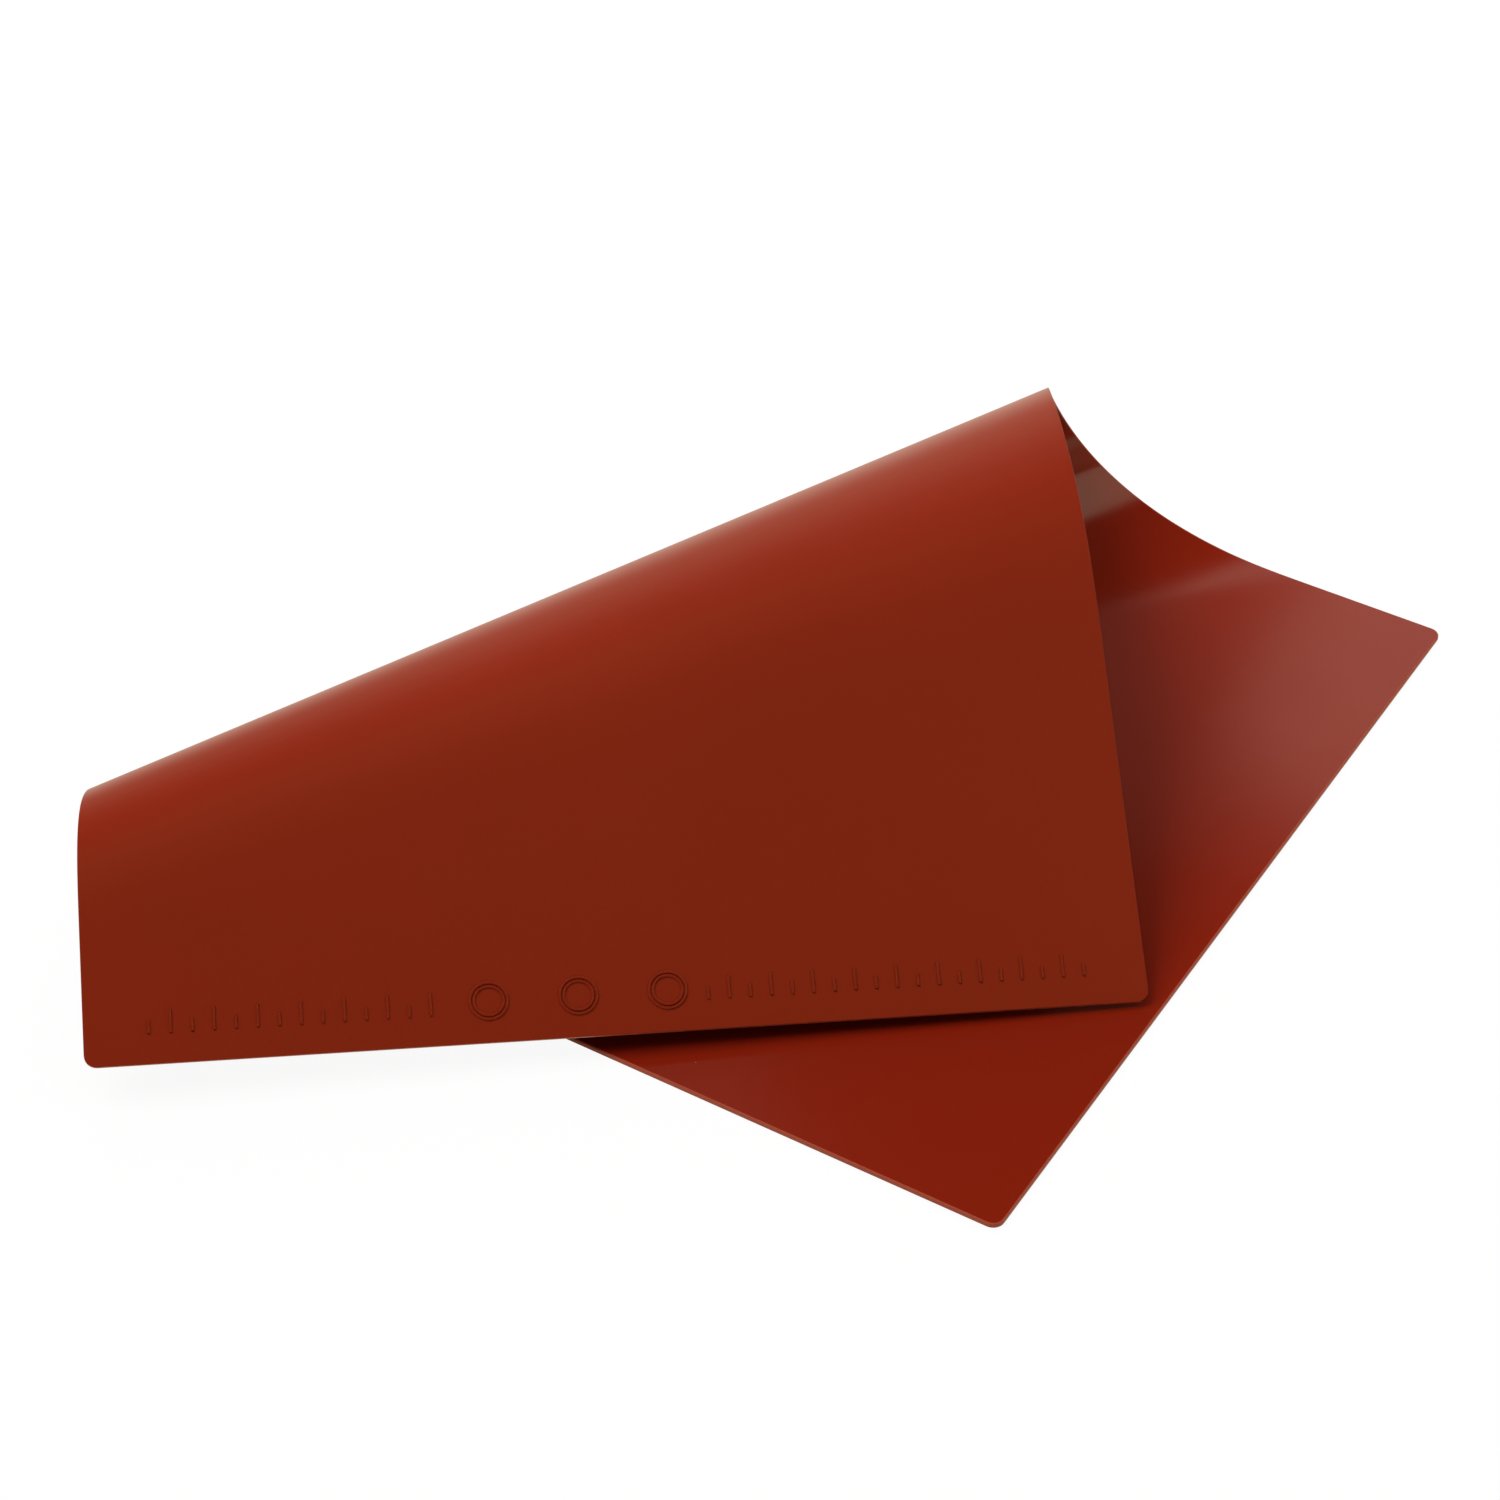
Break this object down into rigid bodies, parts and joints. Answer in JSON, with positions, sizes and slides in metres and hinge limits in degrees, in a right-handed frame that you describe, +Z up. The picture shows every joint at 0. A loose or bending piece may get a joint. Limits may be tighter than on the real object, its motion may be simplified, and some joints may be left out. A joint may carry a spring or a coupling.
{
  "type": "silicone baking mat",
  "caption": "Thin flexible silicone baking mat with rounded corners, lying folded over on itself along a slanting bend; it opens out flat to line a tray.",
  "frame": {"origin": "middle of the base panel, on the underside that lies on the table", "axes": "+Z up from the table, +X across the mat from its near long edge to its far long edge, +Y along the base from its short edge towards the bend"},
  "size_m": [0.324, 0.2455, 0.0673],
  "materials": {
    "silicone": "opaque red silicone, matte on the outer face and glossy on the inner face"
  },
  "bodies": {
    "base": {"base_panel": "silicone"},
    "bend_01": {"bend_strip_01": "silicone"},
    "bend_02": {"bend_strip_02": "silicone"},
    "bend_03": {"bend_strip_03": "silicone"},
    "bend_04": {"bend_strip_04": "silicone"},
    "bend_05": {"bend_strip_05": "silicone"},
    "bend_06": {"bend_strip_06": "silicone"},
    "bend_07": {"bend_strip_07": "silicone"},
    "bend_08": {"bend_strip_08": "silicone"},
    "bend_09": {"bend_strip_09": "silicone"},
    "bend_10": {"bend_strip_10": "silicone"},
    "flap": {"flap_panel": "silicone"}
  },
  "joints": [
    {"name": "fold_01", "type": "hinge", "parent": "base", "child": "bend_01", "pos_m": [0, 0.06573, 0], "axis": [-0.838, 0.5457, 0], "range_deg": [0, 10.43]},
    {"name": "fold_02", "type": "hinge", "parent": "bend_01", "child": "bend_02", "pos_m": [-0.00012, 0.08888, 0.00356], "axis": [-0.8601, 0.5101, -0.0077], "range_deg": [0, 20.86]},
    {"name": "fold_03", "type": "hinge", "parent": "bend_02", "child": "bend_03", "pos_m": [-0.00099, 0.10173, 0.00995], "axis": [-0.8715, 0.4899, -0.0218], "range_deg": [0, 20.86]},
    {"name": "fold_04", "type": "hinge", "parent": "bend_03", "child": "bend_04", "pos_m": [-0.00253, 0.10834, 0.01629], "axis": [-0.8764, 0.4802, -0.0359], "range_deg": [0, 20.86]},
    {"name": "fold_05", "type": "hinge", "parent": "bend_04", "child": "bend_05", "pos_m": [-0.00484, 0.11186, 0.0226], "axis": [-0.878, 0.4761, -0.0499], "range_deg": [0, 20.86]},
    {"name": "fold_06", "type": "hinge", "parent": "bend_05", "child": "bend_06", "pos_m": [-0.00858, 0.11333, 0.02965], "axis": [-0.8766, 0.4766, -0.0659], "range_deg": [0, 20.86]},
    {"name": "fold_07", "type": "hinge", "parent": "bend_06", "child": "bend_07", "pos_m": [-0.01461, 0.11237, 0.03745], "axis": [-0.8714, 0.4833, -0.0841], "range_deg": [0, 20.86]},
    {"name": "fold_08", "type": "hinge", "parent": "bend_07", "child": "bend_08", "pos_m": [-0.02395, 0.10803, 0.04512], "axis": [-0.8605, 0.499, -0.1027], "range_deg": [0, 20.86]},
    {"name": "fold_09", "type": "hinge", "parent": "bend_08", "child": "bend_09", "pos_m": [-0.03732, 0.09944, 0.05054], "axis": [-0.8421, 0.5265, -0.1168], "range_deg": [0, 20.86]},
    {"name": "fold_10", "type": "hinge", "parent": "bend_09", "child": "bend_10", "pos_m": [-0.05467, 0.08661, 0.05044], "axis": [-0.8156, 0.5663, -0.1186], "range_deg": [0, 20.86]},
    {"name": "fold_11", "type": "hinge", "parent": "bend_10", "child": "flap", "pos_m": [-0.07478, 0.07102, 0.04119], "axis": [-0.7823, 0.6151, -0.0984], "range_deg": [0, 10.43]}
  ],
  "couplings": [
    {"joint": "fold_01", "follows": "fold_08", "ratio": 0.5},
    {"joint": "fold_02", "follows": "fold_08", "ratio": 1},
    {"joint": "fold_03", "follows": "fold_08", "ratio": 1},
    {"joint": "fold_04", "follows": "fold_08", "ratio": 1},
    {"joint": "fold_05", "follows": "fold_08", "ratio": 1},
    {"joint": "fold_06", "follows": "fold_08", "ratio": 1},
    {"joint": "fold_07", "follows": "fold_08", "ratio": 1},
    {"joint": "fold_09", "follows": "fold_08", "ratio": 1},
    {"joint": "fold_10", "follows": "fold_08", "ratio": 1},
    {"joint": "fold_11", "follows": "fold_08", "ratio": 0.5}
  ]
}
